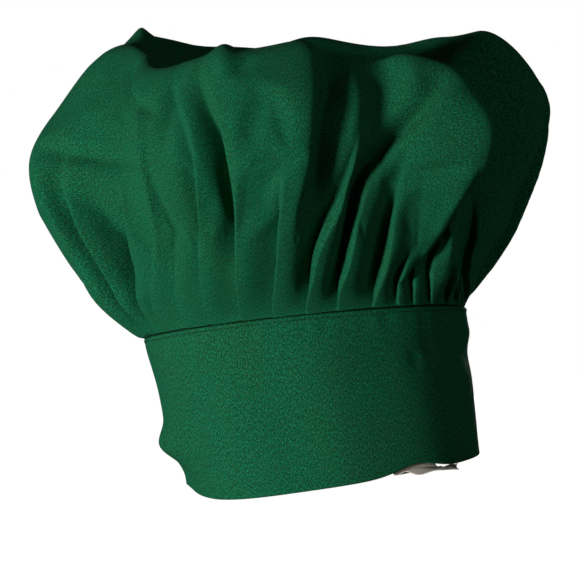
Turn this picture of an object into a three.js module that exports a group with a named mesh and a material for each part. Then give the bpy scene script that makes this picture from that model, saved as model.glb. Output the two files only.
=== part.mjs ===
// A chef's toque: one round of twill, pleated at its edge and sewn into a stiffened band, which closes at the
// back with a hook-and-loop tab. Millimetres, +Z up, the front faces -Y. The origin is the centre of the head
// opening in the plane of the hem. Angles are in degrees, counter-clockwise from +X seen from above.

import * as THREE from "three";

// Plies
const CLOTH = 0.6;
const INTERLINING = 0.8;
const LOOP_TAPE = 1.2;
const HOOK_TAPE = 1.0;
const LABEL = 0.3;
const THREAD = 0.5;
const GAP = 0.3; // between pieces that touch
const BAND_HALF = INTERLINING / 2 + GAP + CLOTH;

// Band: an oval hoop, wider at the crown than at the hem
const BAND_HEIGHT = 100.5;
const BAND_SIDE_SAG = 0.06; // drop of the top edge for each millimetre towards +X
const HEM_HALF_WIDTH = 98;
const HEM_HALF_DEPTH = 84;
const TOP_HALF_WIDTH = 105;
const TOP_HALF_DEPTH = 88;
const TOPSTITCH_INSET = 4;
const CROWN_TUCK = 12; // seam allowance of the crown, held between the two plies of the band
const CROWN_GAP = 0.9; // keeps the sewing on the crown clear of the crown's flat facets
const CROWN_RISE = 2; // the crown leaves the band straight up before it spreads

// Closure: the tab laps over the other end of the band
const HINGE_ANGLE = 72;
const TAB_ANGLE = 36;
const LAP = 2 * BAND_HALF + LOOP_TAPE + HOOK_TAPE + 3 * GAP;
const LAP_RAMP = 37; // over this angle the band steps in from the tab's level to its own
const END_GAP = 0.17; // degrees, half the gap at the line where the tab folds
const TAPE_LOW = 30;
const TAPE_HIGH = 70;
const TAPE_INSET_ANGLE = 5;
const TAPE_STITCH_OUTSET = { angle: 0.8, height: 1.2 }; // the sewing runs round the tapes' edges
const EDGE_STITCH_ANGLE = 1.8;

// Vent: the slit in the crown above the closure
const VENT_ROWS = 2;
const VENT_HALF_ANGLE = 0.6;
const VENT_STITCH_ANGLE = 2.2;
const BARTACK = { width: 3, depth: 0.8, height: 2 };

// Labels, sewn inside the front of the band; the long one slips out under the hem
const LABEL_ANGLE = 302;
const CARE_LABEL_HALF_ANGLE = 10;
const SIZE_LABEL_HALF_ANGLE = 5;
const LABEL_SEAM_HEIGHT = 42;
const HEM_LIFT = 5;
const HEM_LIFT_ANGLE = 11;

// Crown
const COLUMNS = 72;
const ROWS = 15; // above the band
const STEP = 360 / COLUMNS;
const POLE = new THREE.Vector3(4, 8, 208);
// Around the crown: reach is the radius of the widest place and waist its height, rim is the radius of the
// highest place and top its height. Low reaches between high ones are the creases between the lobes.
const LOBES = [
  { at: 8, reach: 188, waist: 224, rim: 150, top: 280 },
  { at: 30, reach: 195, waist: 222, rim: 151, top: 295 },
  { at: 60, reach: 172, waist: 214, rim: 120, top: 314 },
  { at: 90, reach: 146, waist: 208, rim: 88, top: 316 },
  { at: 120, reach: 148, waist: 210, rim: 88, top: 318 },
  { at: 150, reach: 157, waist: 218, rim: 92, top: 314 },
  { at: 173, reach: 165, waist: 222, rim: 86, top: 299 },
  { at: 192, reach: 161, waist: 216, rim: 84, top: 293 },
  { at: 212, reach: 114, waist: 202, rim: 88, top: 276 },
  { at: 229, reach: 123, waist: 202, rim: 98, top: 261 },
  { at: 250, reach: 128, waist: 208, rim: 92, top: 260 },
  { at: 266, reach: 130, waist: 210, rim: 88, top: 258 },
  { at: 280, reach: 125, waist: 207, rim: 88, top: 252 },
  { at: 292, reach: 119, waist: 204, rim: 92, top: 247 },
  { at: 302, reach: 124, waist: 201, rim: 103, top: 242 },
  { at: 311, reach: 142, waist: 196, rim: 118, top: 237 },
  { at: 319, reach: 162, waist: 187, rim: 136, top: 229 },
  { at: 327, reach: 138, waist: 182, rim: 124, top: 217 },
  { at: 337, reach: 112, waist: 186, rim: 98, top: 210 },
  { at: 349, reach: 100, waist: 190, rim: 86, top: 214 },
];
// The lobe at -X is drawn up to a peak
const PEAK = { angle: 163, row: 10, reach: 32, rise: 27 };

const COLOURS = {
  twill: 0x15603c,
  interlining: 0xd9d6cc,
  thread: 0x0f4a2e,
  tape: 0x123f2a,
  label: 0xc9bfae,
};
const toque = new THREE.Group();
const lerp = THREE.MathUtils.lerp;
const radians = THREE.MathUtils.degToRad;

function add(name, geometry, colour) {
  const material = new THREE.MeshStandardMaterial({ color: COLOURS[colour], roughness: 0.9, metalness: 0 });
  const mesh = new THREE.Mesh(geometry, material);
  mesh.name = name;
  toque.add(mesh);
  return mesh;
}

function geometryOf(points, triangles) {
  const geometry = new THREE.BufferGeometry().setFromPoints(points);
  geometry.setIndex(triangles.flat());
  return geometry;
}

function volume(points, triangles) {
  const sixth = ([a, b, c]) => points[a].dot(new THREE.Vector3().crossVectors(points[b], points[c])) / 6;
  return triangles.reduce((sum, triangle) => sum + sixth(triangle), 0);
}

/** A closed sheet over a grid of points on its middle surface. Grid points in one place are one vertex. */
function thickSheet(grid, thickness) {
  const points = [];
  const numbers = new Map();
  const numberOf = (point) => {
    const key = point.toArray().map((c) => c.toFixed(3)).join();
    if (!numbers.has(key)) {
      numbers.set(key, points.length);
      points.push(point);
    }
    return numbers.get(key);
  };
  const ids = grid.map((row) => row.map(numberOf));
  const faces = [];
  for (let i = 0; i + 1 < ids.length; i++) {
    for (let j = 0; j + 1 < ids[i].length; j++) {
      const [a, b, c, d] = [ids[i][j], ids[i][j + 1], ids[i + 1][j + 1], ids[i + 1][j]];
      faces.push(...[[a, b, c], [a, c, d]].filter((face) => new Set(face).size === 3));
    }
  }
  const normals = points.map(() => new THREE.Vector3());
  for (const face of faces) {
    const [a, b, c] = face.map((v) => points[v]);
    const normal = b.clone().sub(a).cross(c.clone().sub(a));
    face.forEach((v) => normals[v].add(normal));
  }
  normals.forEach((normal) => normal.normalize());
  const ply = (side) => points.map((p, i) => p.clone().addScaledVector(normals[i], (side * thickness) / 2));
  const n = points.length;
  const triangles = faces.flatMap(([a, b, c]) => [[a, b, c], [a + n, c + n, b + n]]);
  const edges = new Set(faces.flatMap(([a, b, c]) => [`${a} ${b}`, `${b} ${c}`, `${c} ${a}`]));
  for (const edge of edges) {
    const [a, b] = edge.split(" ").map(Number);
    if (!edges.has(`${b} ${a}`)) triangles.push([b, a, a + n], [b, a + n, b + n]);
  }
  return geometryOf([...ply(1), ...ply(-1)], triangles);
}

const SQUARE = [[-1, -1], [1, -1], [1, 1], [-1, 1]].map(([x, y]) => new THREE.Vector2(x, y));

/** A solid through equal polygons of points, joined end to start, or capped at both ends. */
function sweep(sections, { closed = false, outline = SQUARE } = {}) {
  const count = outline.length;
  const points = sections.flat();
  const triangles = [];
  for (let i = 0; i < sections.length - (closed ? 0 : 1); i++) {
    const next = ((i + 1) % sections.length) * count;
    for (let j = 0; j < count; j++) {
      const k = (j + 1) % count;
      triangles.push([i * count + j, i * count + k, next + k], [i * count + j, next + k, next + j]);
    }
  }
  if (!closed) {
    const turn = Math.sign(THREE.ShapeUtils.area(outline));
    const last = (sections.length - 1) * count;
    for (const face of THREE.ShapeUtils.triangulateShape(outline, [])) {
      const same = Math.sign(THREE.ShapeUtils.area(face.map((v) => outline[v]))) === turn;
      const [a, b, c] = same ? face : [...face].reverse();
      triangles.push([c, b, a], [last + a, last + b, last + c]);
    }
  }
  const outward = volume(points, triangles) > 0;
  return geometryOf(points, outward ? triangles : triangles.map(([a, b, c]) => [a, c, b]));
}

function angles(from, to, most = STEP) {
  const count = Math.ceil(Math.abs(to - from) / most);
  return Array.from({ length: count + 1 }, (_, i) => lerp(from, to, i / count));
}

/** How far out of its own oval the band lies at an angle counted down from the hinge line. */
function lapAt(angle) {
  return LAP * THREE.MathUtils.smoothstep(angle, HINGE_ANGLE - LAP_RAMP, HINGE_ANGLE);
}

/** A point on the band: out is its distance outwards from the middle of the band's thickness. */
function bandPoint(angle, out, height) {
  const share = height / BAND_HEIGHT;
  const a = lerp(HEM_HALF_WIDTH, TOP_HALF_WIDTH, share);
  const b = lerp(HEM_HALF_DEPTH, TOP_HALF_DEPTH, share);
  const [c, s] = [Math.cos(radians(angle)), Math.sin(radians(angle))];
  const normal = new THREE.Vector3(c / a, s / b, 0).normalize();
  return new THREE.Vector3(a * c, b * s, height).addScaledVector(normal, out + lapAt(angle));
}

function topOf(angle) {
  return BAND_HEIGHT - BAND_SIDE_SAG * TOP_HALF_WIDTH * Math.cos(radians(angle));
}

function hemOf(angle) {
  const away = (THREE.MathUtils.euclideanModulo(angle, 360) - LABEL_ANGLE) / HEM_LIFT_ANGLE;
  return HEM_LIFT * Math.exp(-away * away);
}

/** A length of band whose section has the corners that corners(angle) gives as [out, height]. */
function bandStrip(along, corners) {
  const outline = corners(along[0]).map(([x, y]) => new THREE.Vector2(x, y));
  const sections = along.map((angle) => corners(angle).map(([out, height]) => bandPoint(angle, out, height)));
  return sweep(sections, { outline });
}

/** The two plies of one strip folded at the hem. */
function foldedCloth(along) {
  const outside = BAND_HALF;
  const inside = BAND_HALF - CLOTH;
  return bandStrip(along, (angle) => {
    const [low, high] = [hemOf(angle), topOf(angle)];
    return [
      [outside, low], [outside, high], [inside, high], [inside, low + CLOTH],
      [-inside, low + CLOTH], [-inside, high], [-outside, high], [-outside, low],
    ];
  });
}

function interlining(along) {
  const half = INTERLINING / 2;
  const below = CROWN_TUCK + 2 * GAP + THREAD + GAP;
  return bandStrip(along, (angle) => {
    const [low, high] = [hemOf(angle) + CLOTH + GAP, topOf(angle) - below];
    return [[half, low], [half, high], [-half, high], [-half, low]];
  });
}

function tape(along, inner, thickness) {
  const outer = inner + thickness;
  const corners = [[outer, TAPE_LOW], [outer, TAPE_HIGH], [inner, TAPE_HIGH], [inner, TAPE_LOW]];
  return bandStrip(along, () => corners);
}

/** A thread through the given points, each with the direction that its surface faces. */
function thread(path, closed = false) {
  const half = THREAD / 2;
  const sections = path.map(({ point, normal }, i) => {
    const before = path[closed ? (i + path.length - 1) % path.length : Math.max(i - 1, 0)].point;
    const after = path[closed ? (i + 1) % path.length : Math.min(i + 1, path.length - 1)].point;
    const side = after.clone().sub(before).cross(normal).normalize();
    return SQUARE.map(({ x, y }) => {
      const sideways = point.clone().addScaledVector(side, half * x);
      return sideways.addScaledVector(normal, half * y);
    });
  });
  return sweep(sections, { closed });
}

/** A line of sewing on the band through [angle, height] corners, lying out from its middle surface. */
function bandThread(corners, out, closed = false) {
  const stops = closed ? [...corners, corners[0]] : corners;
  const path = [];
  for (let i = 0; i + 1 < stops.length; i++) {
    const [[angleA, heightA], [angleB, heightB]] = [stops[i], stops[i + 1]];
    const parts = Math.max(2, Math.ceil(Math.abs(angleB - angleA) / STEP));
    const last = i + 2 === stops.length && !closed ? parts + 1 : parts;
    for (let j = 0; j < last; j++) {
      const share = j / parts;
      path.push([lerp(angleA, angleB, share), lerp(heightA, heightB, share)]);
    }
  }
  const facing = (angle, height) => bandPoint(angle, out + 1, height).sub(bandPoint(angle, out, height));
  const placed = path.map(([angle, height]) => ({
    point: bandPoint(angle, out, height),
    normal: facing(angle, height).normalize(),
  }));
  return thread(placed, closed);
}

/** The value of one measure of the lobes at an angle, on a smooth closed curve through them. */
function around(measure, angle) {
  const count = LOBES.length;
  const turn = THREE.MathUtils.euclideanModulo(angle - LOBES[0].at, 360) + LOBES[0].at;
  const lobe = (i) => {
    const { at, [measure]: value } = LOBES[(i + count) % count];
    return [at + 360 * Math.floor(i / count), value];
  };
  const before = LOBES.filter(({ at }) => at <= turn).length - 1;
  const [[x0, y0], [x1, y1], [x2, y2], [x3, y3]] = [-1, 0, 1, 2].map((k) => lobe(before + k));
  const t = (turn - x1) / (x2 - x1);
  const slope1 = ((y2 - y0) / (x2 - x0)) * (x2 - x1);
  const slope2 = ((y3 - y1) / (x3 - x1)) * (x2 - x1);
  const cubed = 2 * y1 - 2 * y2 + slope1 + slope2;
  const squared = 3 * y2 - 3 * y1 - 2 * slope1 - slope2;
  return cubed * t ** 3 + squared * t ** 2 + slope1 * t + y1;
}

/** The crown's line from just above the band over the rim to the middle of the top. */
function meridian(angle) {
  const foot = bandPoint(angle, 0, topOf(angle)).setZ(topOf(angle) + CROWN_RISE);
  const [reach, waist, rim, top] = ["reach", "waist", "rim", "top"].map((measure) => around(measure, angle));
  const footRadius = Math.hypot(foot.x, foot.y);
  const [c, s] = [Math.cos(radians(angle)), Math.sin(radians(angle))];
  const at = (radius, height) => new THREE.Vector3(radius * c, radius * s, height);
  return new THREE.CatmullRomCurve3([
    foot,
    at(lerp(footRadius, reach, 0.52), lerp(foot.z, waist, 0.38)),
    at(reach, waist),
    at(lerp(reach, rim, 0.33), lerp(waist, top, 0.55)),
    at(rim, top),
    at(0.55 * rim, lerp(top, POLE.z, 0.6)).addScaledVector(POLE.clone().setZ(0), 0.45),
    POLE,
  ]);
}

const peakPoint = meridian(PEAK.angle).getPointAt(PEAK.row / ROWS);

/** A point of the crown's middle surface; the rows are counted up from the band. */
function crownPoint(angle, row) {
  const lapped = meridian(angle).getPointAt(row / ROWS);
  const plain = meridian(angle - 360).getPointAt(row / ROWS);
  const rise = PEAK.rise * Math.exp(-plain.distanceTo(peakPoint) / PEAK.reach);
  const point = lapped.lerp(plain, THREE.MathUtils.smoothstep(row, 0, VENT_ROWS));
  return point.setZ(point.z + rise);
}

/** The angle of a column of the crown, whose first and last columns stand apart below the vent's top. */
function columnAngle(column, row) {
  const open = VENT_HALF_ANGLE * Math.max(0, 1 - row / VENT_ROWS);
  if (column === 0) return HINGE_ANGLE - open;
  if (column === COLUMNS) return HINGE_ANGLE - 360 + open;
  return HINGE_ANGLE - STEP * column;
}

function crown() {
  const columns = Array.from({ length: COLUMNS + 1 }, (_, column) => column);
  const tuckedEdge = columns.map((column) => {
    const angle = columnAngle(column, 0);
    return bandPoint(angle, 0, topOf(angle) - CROWN_TUCK);
  });
  const rows = Array.from({ length: ROWS + 1 }, (_, row) =>
    columns.map((column) => crownPoint(columnAngle(column, row), row)),
  );
  return thickSheet([tuckedEdge, ...rows], CLOTH);
}

/** A point standing off the crown, and the way that the crown faces there. */
function onCrown(angle, row, away) {
  const point = crownPoint(angle, row);
  const along = crownPoint(angle - 1, row).sub(point);
  const up = crownPoint(angle, row + 0.1).sub(point);
  const normal = up.cross(along).normalize();
  return { point: point.clone().addScaledVector(normal, away), normal };
}

/** Sewing up one edge of the vent, over its top and down the other edge. */
function ventHemStitching() {
  const away = CLOTH / 2 + CROWN_GAP + THREAD / 2;
  const steps = Array.from({ length: 5 }, (_, i) => i / 4);
  const height = (share) => lerp(0.15, VENT_ROWS + 0.35, share);
  const spread = (share) => VENT_STITCH_ANGLE * (1 - 0.4 * share);
  const up = steps.map((share) => onCrown(HINGE_ANGLE - spread(share), height(share), away));
  const down = [...steps].reverse().map((share) =>
    onCrown(HINGE_ANGLE - 360 + spread(share), height(share), away),
  );
  return thread([...up, ...down]);
}

function ventBartack() {
  const geometry = new THREE.BoxGeometry(BARTACK.width, BARTACK.depth, BARTACK.height);
  const { point, normal } = onCrown(HINGE_ANGLE - 360, VENT_ROWS, CLOTH / 2 + CROWN_GAP + BARTACK.depth / 2);
  geometry.applyQuaternion(new THREE.Quaternion().setFromUnitVectors(new THREE.Vector3(0, 1, 0), normal));
  return geometry.translate(...point.toArray());
}

/** A ribbon that follows [out, height] stops down the inside of the band, and straight on past its middle. */
function labelRibbon(halfAngle, stops) {
  const across = angles(LABEL_ANGLE - 360 - halfAngle, LABEL_ANGLE - 360 + halfAngle, 4);
  const ahead = bandPoint(LABEL_ANGLE, 1, 0).sub(bandPoint(LABEL_ANGLE, 0, 0));
  const place = (angle, out, height) =>
    bandPoint(angle, Math.min(out, 0), height).addScaledVector(ahead, Math.max(out, 0));
  const grid = stops.map(([out, height]) => across.map((angle) => place(angle, out, height)));
  return thickSheet(grid, LABEL);
}

const inFace = -BAND_HALF - GAP - LABEL / 2;
const careLabelStops = [
  [inFace, LABEL_SEAM_HEIGHT], [inFace, 12], [inFace - 1.5, 5], [inFace - 0.8, 1.6],
  [-1, 0.6], [3, 0.5], [20, 0.5], [42, 0.5],
];
const overCareLabel = inFace - LABEL - GAP;
const sizeLabelStops = [[overCareLabel, LABEL_SEAM_HEIGHT], [overCareLabel, LABEL_SEAM_HEIGHT - 20]];

const bandAngles = angles(HINGE_ANGLE - END_GAP, HINGE_ANGLE - 360 + END_GAP);
const tabAngles = angles(HINGE_ANGLE + END_GAP, HINGE_ANGLE + TAB_ANGLE);
const loopTapeFrom = HINGE_ANGLE + TAPE_INSET_ANGLE - 360;
const loopTapeAngles = angles(loopTapeFrom, HINGE_ANGLE + TAB_ANGLE - TAPE_INSET_ANGLE - 360);
const hookTapeAngles = loopTapeAngles.map((angle) => angle + 360);
const loopTapeFoot = BAND_HALF + GAP;
const hookTapeFoot = -BAND_HALF - GAP - HOOK_TAPE;
const onFace = BAND_HALF + GAP + THREAD / 2;

/** The four corners of the sewing round a tape, as [angle, height]. */
function tapeCorners([from, ...rest]) {
  const to = rest.at(-1);
  const { angle, height } = TAPE_STITCH_OUTSET;
  const [low, high] = [TAPE_LOW - height, TAPE_HIGH + height];
  return [[from - angle, low], [to + angle, low], [to + angle, high], [from - angle, high]];
}

const endAngle = HINGE_ANGLE - 360 + EDGE_STITCH_ANGLE;
const belowTop = (depth) => (angle) => [angle, topOf(angle) - depth];
const topstitching = angles(HINGE_ANGLE - 1, endAngle + 1).map(belowTop(TOPSTITCH_INSET));
const gatheringDepth = CROWN_TUCK + GAP + THREAD / 2 + 0.1;
const gathering = angles(HINGE_ANGLE - 1, HINGE_ANGLE - 359).map(belowTop(gatheringDepth));
const tabNear = HINGE_ANGLE + EDGE_STITCH_ANGLE;
const tabFar = HINGE_ANGLE + TAB_ANGLE - EDGE_STITCH_ANGLE;
const tabTop = topOf(HINGE_ANGLE + TAB_ANGLE / 2) - TOPSTITCH_INSET;
const labelMiddle = LABEL_ANGLE - 360;
const labelSeam = angles(labelMiddle - CARE_LABEL_HALF_ANGLE, labelMiddle + CARE_LABEL_HALF_ANGLE);
const labelSeamOut = inFace - 2 * LABEL - 2 * GAP - THREAD / 2;

add("crown", crown(), "twill");
add("band_cloth", foldedCloth(bandAngles), "twill");
add("band_interlining", interlining(bandAngles), "interlining");
add("band_topstitching", bandThread(topstitching, onFace), "thread");
add("crown_gathering_thread", bandThread(gathering, 0), "thread");
add("band_end_stitching", bandThread([[endAngle, 8], [endAngle, 84]], onFace), "thread");
add("vent_hem_stitching", ventHemStitching(), "thread");
add("vent_bartack", ventBartack(), "thread");
add("loop_tape", tape(loopTapeAngles, loopTapeFoot, LOOP_TAPE), "tape");
add("loop_tape_stitching", bandThread(tapeCorners(loopTapeAngles), onFace, true), "thread");
add("care_label", labelRibbon(CARE_LABEL_HALF_ANGLE, careLabelStops), "label");
add("size_label", labelRibbon(SIZE_LABEL_HALF_ANGLE, sizeLabelStops), "label");
add(
  "label_stitching",
  bandThread(labelSeam.map((angle) => [angle, LABEL_SEAM_HEIGHT - 2]), labelSeamOut),
  "thread",
);

add("closure_tab_cloth", foldedCloth(tabAngles), "twill");
add("closure_tab_interlining", interlining(tabAngles), "interlining");
add(
  "closure_tab_stitching",
  bandThread([[tabNear, 5], [tabFar, 5], [tabFar, tabTop], [tabNear, tabTop]], onFace),
  "thread",
);
add("hook_tape", tape(hookTapeAngles, hookTapeFoot, HOOK_TAPE), "tape");
add("hook_tape_stitching", bandThread(tapeCorners(hookTapeAngles), -onFace, true), "thread");

export default toque;
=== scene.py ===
"""The looks of a chef's toque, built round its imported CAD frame.

The design sizes are in millimetres, as in the CAD, and become metres where a mesh is made. Angles are in
degrees, counter-clockwise from +X seen from above, and the front faces -Y, at 270.
"""
import math

import bpy
import numpy as np
from mathutils import Matrix, Vector
from mathutils.bvhtree import BVHTree


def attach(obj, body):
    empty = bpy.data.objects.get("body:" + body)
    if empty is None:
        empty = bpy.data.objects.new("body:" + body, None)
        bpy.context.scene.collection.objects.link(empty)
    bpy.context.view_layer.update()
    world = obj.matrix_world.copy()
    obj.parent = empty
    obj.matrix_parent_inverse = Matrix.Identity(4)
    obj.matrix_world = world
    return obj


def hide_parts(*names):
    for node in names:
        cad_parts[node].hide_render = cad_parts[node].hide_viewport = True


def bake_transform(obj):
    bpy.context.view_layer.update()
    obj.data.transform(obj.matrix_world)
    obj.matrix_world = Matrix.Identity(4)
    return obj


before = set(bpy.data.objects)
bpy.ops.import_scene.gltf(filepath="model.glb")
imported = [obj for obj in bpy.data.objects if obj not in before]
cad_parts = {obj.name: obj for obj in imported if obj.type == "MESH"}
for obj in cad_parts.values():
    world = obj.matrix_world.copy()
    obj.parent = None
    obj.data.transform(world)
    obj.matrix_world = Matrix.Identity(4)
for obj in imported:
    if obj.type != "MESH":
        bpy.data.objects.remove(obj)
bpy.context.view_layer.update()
MM = 0.001

# The band's oval, as in the CAD
BAND_HEIGHT = 100.5
BAND_SIDE_SAG = 0.06
HEM_HALF = (98.0, 84.0)
TOP_HALF = (105.0, 88.0)
BAND_HALF = 1.3
CROWN_TUCK = 12.0
CROWN_RISE = 2.0

# The closure
HINGE_ANGLE = 72.0
TAB_ANGLE = 36.0
LAP = 5.7
LAP_RAMP = 37.0

# The crown: a round of cloth this wide, and its lobes as angle, reach, waist height, rim radius, rim height
ROUND = 660.0
POLE = np.array([4.0, 8.0, 208.0])
LOBES = np.array([
    (8, 188, 224, 150, 280),
    (30, 195, 222, 151, 295),
    (60, 172, 214, 120, 314),
    (90, 146, 208, 88, 316),
    (120, 148, 210, 88, 318),
    (150, 157, 218, 92, 314),
    (173, 165, 222, 86, 299),
    (192, 161, 216, 84, 293),
    (212, 114, 202, 88, 276),
    (229, 123, 202, 98, 261),
    (250, 128, 208, 92, 260),
    (266, 130, 210, 88, 258),
    (280, 125, 207, 88, 252),
    (292, 119, 204, 92, 247),
    (302, 124, 201, 103, 242),
    (311, 142, 196, 118, 237),
    (319, 162, 187, 136, 229),
    (327, 138, 182, 124, 217),
    (337, 112, 186, 98, 210),
    (349, 100, 190, 86, 214),
], float)


# ---------------------------------------------------------------- the shape of the band and of the crown

def smoothstep(x, low, high):
    t = np.clip((np.asarray(x, float) - low) / (high - low), 0, 1)
    return t * t * (3 - 2 * t)


def mix(a, b, t):
    return a + (b - a) * t


def band_point(angle, out, height, lap=None):
    """A point out from the middle of the band's thickness. Angles above the hinge's are the tab's."""
    angle, out, height = np.broadcast_arrays(*(np.asarray(v, float) for v in (angle, out, height)))
    share = height / BAND_HEIGHT
    a, b = mix(HEM_HALF[0], TOP_HALF[0], share), mix(HEM_HALF[1], TOP_HALF[1], share)
    c, s = np.cos(np.radians(angle)), np.sin(np.radians(angle))
    normal = np.stack([c / a, s / b], -1)
    normal /= np.linalg.norm(normal, axis=-1, keepdims=True)
    lapped = LAP * smoothstep(angle, HINGE_ANGLE - LAP_RAMP, HINGE_ANGLE) if lap is None else lap
    ground = np.stack([a * c, b * s], -1) + normal * (out + lapped)[..., None]
    return np.concatenate([ground, height[..., None]], -1)


def band_top(angle):
    return BAND_HEIGHT - BAND_SIDE_SAG * TOP_HALF[0] * np.cos(np.radians(angle))


def curve_through(at, values, x):
    """Values at x on a smooth curve through values at the rising places at; values may have columns."""
    at, values, x = np.asarray(at, float), np.asarray(values, float), np.clip(x, at[0], at[-1])
    slopes = np.gradient(values, at, axis=0)
    k = np.clip(np.searchsorted(at, x, side="right") - 1, 0, len(at) - 2)
    span, t = at[k + 1] - at[k], (x - at[k]) / (at[k + 1] - at[k])
    if values.ndim > 1:
        span, t = span[:, None], t[:, None]
    slope, next_slope, rise = slopes[k] * span, slopes[k + 1] * span, values[k + 1] - values[k]
    squared = 3 * rise - 2 * slope - next_slope
    cubed = slope + next_slope - 2 * rise
    return values[k] + slope * t + squared * t**2 + cubed * t**3


def periodic(table, angle):
    """Values at the angles, on smooth closed curves through a table whose first column is the angle."""
    at, values = table[:, 0], table[:, 1:]
    turn = np.mod(np.asarray(angle, float) - at[0], 360) + at[0]
    around = np.concatenate([at[-3:] - 360, at, at[:3] + 360])
    return curve_through(around, np.concatenate([values[-3:], values, values[:3]]), turn)


def along_curves(stops, samples):
    """Equally spaced points on smooth curves through stops, an array of curves by stops by 3."""
    chord = np.sqrt(np.linalg.norm(np.diff(stops, axis=1), axis=2))
    knots = np.concatenate([np.zeros((len(stops), 1)), np.cumsum(chord, axis=1)], axis=1)
    gaps = np.diff(knots, axis=1)[..., None]
    secant = np.diff(stops, axis=1) / gaps
    inner = (secant[:, :-1] * gaps[:, 1:] + secant[:, 1:] * gaps[:, :-1]) / (gaps[:, 1:] + gaps[:, :-1])
    tangent = np.concatenate([secant[:, :1], inner, secant[:, -1:]], axis=1)
    pieces = []
    for k in range(stops.shape[1] - 1):
        t = np.linspace(0, 1, 48, endpoint=False)[None, :, None]
        p0, p1 = stops[:, k, None], stops[:, k + 1, None]
        m0, m1 = tangent[:, k, None] * gaps[:, k, None], tangent[:, k + 1, None] * gaps[:, k, None]
        pieces.append(
            (2 * t**3 - 3 * t**2 + 1) * p0 + (t**3 - 2 * t**2 + t) * m0
            + (3 * t**2 - 2 * t**3) * p1 + (t**3 - t**2) * m1
        )
    fine = np.concatenate([*pieces, stops[:, -1:]], axis=1)
    run = np.concatenate(
        [np.zeros((len(fine), 1)), np.cumsum(np.linalg.norm(np.diff(fine, axis=1), axis=2), axis=1)], axis=1
    )
    even = np.linspace(0, 1, samples)
    out = np.empty((len(fine), samples, 3))
    for i in range(len(fine)):
        for axis in range(3):
            out[i, :, axis] = np.interp(even * run[i, -1], run[i], fine[i, :, axis])
    return out


class CrownShape:
    """The crown's middle surface without its folds, by angle and by share of the way from band to middle."""

    ANGLES = 720
    SHARES = 241

    def __init__(self):
        angle = np.arange(self.ANGLES) * 360 / self.ANGLES
        foot = band_point(angle, 0, band_top(angle), lap=0.0)
        foot[:, 2] += CROWN_RISE
        reach, waist, rim, top = periodic(LOBES, angle).T
        foot_radius = np.hypot(foot[:, 0], foot[:, 1])
        c, s = np.cos(np.radians(angle)), np.sin(np.radians(angle))

        def at(radius, height):
            return np.stack([radius * c, radius * s, height], -1)

        inner = at(0.55 * rim, mix(top, POLE[2], 0.6)) + 0.45 * POLE * (1, 1, 0)
        stops = np.stack([
            foot,
            at(mix(foot_radius, reach, 0.52), mix(foot[:, 2], waist, 0.38)),
            at(reach, waist),
            at(mix(reach, rim, 0.33), mix(waist, top, 0.55)),
            at(rim, top),
            inner,
            np.broadcast_to(POLE, foot.shape),
        ], axis=1)
        self.table = along_curves(stops, self.SHARES)

    def point(self, angle, share):
        a = np.mod(np.asarray(angle, float), 360) * self.ANGLES / 360
        s = np.clip(np.asarray(share, float), 0, 1) * (self.SHARES - 1)
        i, j = np.floor(a).astype(int), np.minimum(np.floor(s).astype(int), self.SHARES - 2)
        u, v = (a - i)[..., None], (s - j)[..., None]
        i0, i1 = i % self.ANGLES, (i + 1) % self.ANGLES
        low = mix(self.table[i0, j], self.table[i1, j], u)
        high = mix(self.table[i0, j + 1], self.table[i1, j + 1], u)
        return mix(low, high, v)

    def normal(self, angle, share):
        """The outward normal, smoothed over a few degrees and over a few shares."""
        share = np.clip(share, 0.015, 0.985)
        along = self.point(angle + 2, share) - self.point(angle - 2, share)
        upwards = self.point(angle, share + 0.015) - self.point(angle, share - 0.015)
        across = np.cross(along, upwards)
        return across / np.maximum(np.linalg.norm(across, axis=-1, keepdims=True), 1e-9)


CROWN = CrownShape()


# ---------------------------------------------------------------- pleats and folds of the crown

# Knife pleats, all with their folded edge on the side of the smaller angle: height of the edge, depth of
# the hollow beside it, shares where the hollow begins and where the pleat has run out, and its line as
# (share of the way up, angle).
FRONT_PLEATS = (
    (8, 6, 0, 0.45, ((0, 199), (0.12, 197), (0.3, 194), (0.45, 190))),
    (8, 7, 0, 0.42, ((0, 205), (0.12, 201), (0.23, 200), (0.42, 201))),
    (7, 14, 0.02, 0.34, ((0, 209.5), (0.08, 208.5), (0.24, 211), (0.34, 212))),
    (8, 9, 0.1, 0.66, (
        (0, 214.5), (0.07, 217), (0.2, 227.5), (0.27, 231), (0.42, 230), (0.5, 225), (0.62, 206),
    )),
    (3, 2, 0, 0.20, ((0, 228), (0.1, 230), (0.2, 235))),
    (6, 4, 0.05, 0.62, ((0, 239.5), (0.1, 241), (0.23, 245.5), (0.38, 248.5), (0.51, 243))),
    (7, 13, 0.1, 0.60, ((0, 250.5), (0.12, 253.5), (0.23, 257), (0.33, 257.5), (0.51, 254))),
    (5, 3, 0, 0.36, ((0, 261), (0.12, 265.5), (0.2, 268), (0.3, 271))),
    (8, 9, 0, 0.40, (
        (0, 271.5), (0.07, 274.5), (0.13, 277.5), (0.18, 281.5), (0.22, 285), (0.27, 288), (0.4, 294),
    )),
    (8, 8, 0, 0.36, ((0, 281.5), (0.05, 283), (0.11, 286.5), (0.19, 290.5), (0.25, 294), (0.36, 300))),
    (8, 8, 0, 0.32, ((0, 293.5), (0.06, 296.5), (0.14, 301), (0.2, 303), (0.32, 306))),
    (5, 6, 0, 0.14, ((0, 302.5), (0.05, 303.5), (0.14, 309))),
    (5, 6, 0, 0.13, ((0, 309.5), (0.04, 309), (0.13, 312))),
    (5, 6, 0, 0.14, ((0, 318), (0.05, 315), (0.14, 317))),
    (5, 5, 0, 0.12, ((0, 328), (0.05, 326), (0.12, 328))),
    (6, 6, 0, 0.14, ((0, 338), (0.05, 337), (0.14, 341))),
)
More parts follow.
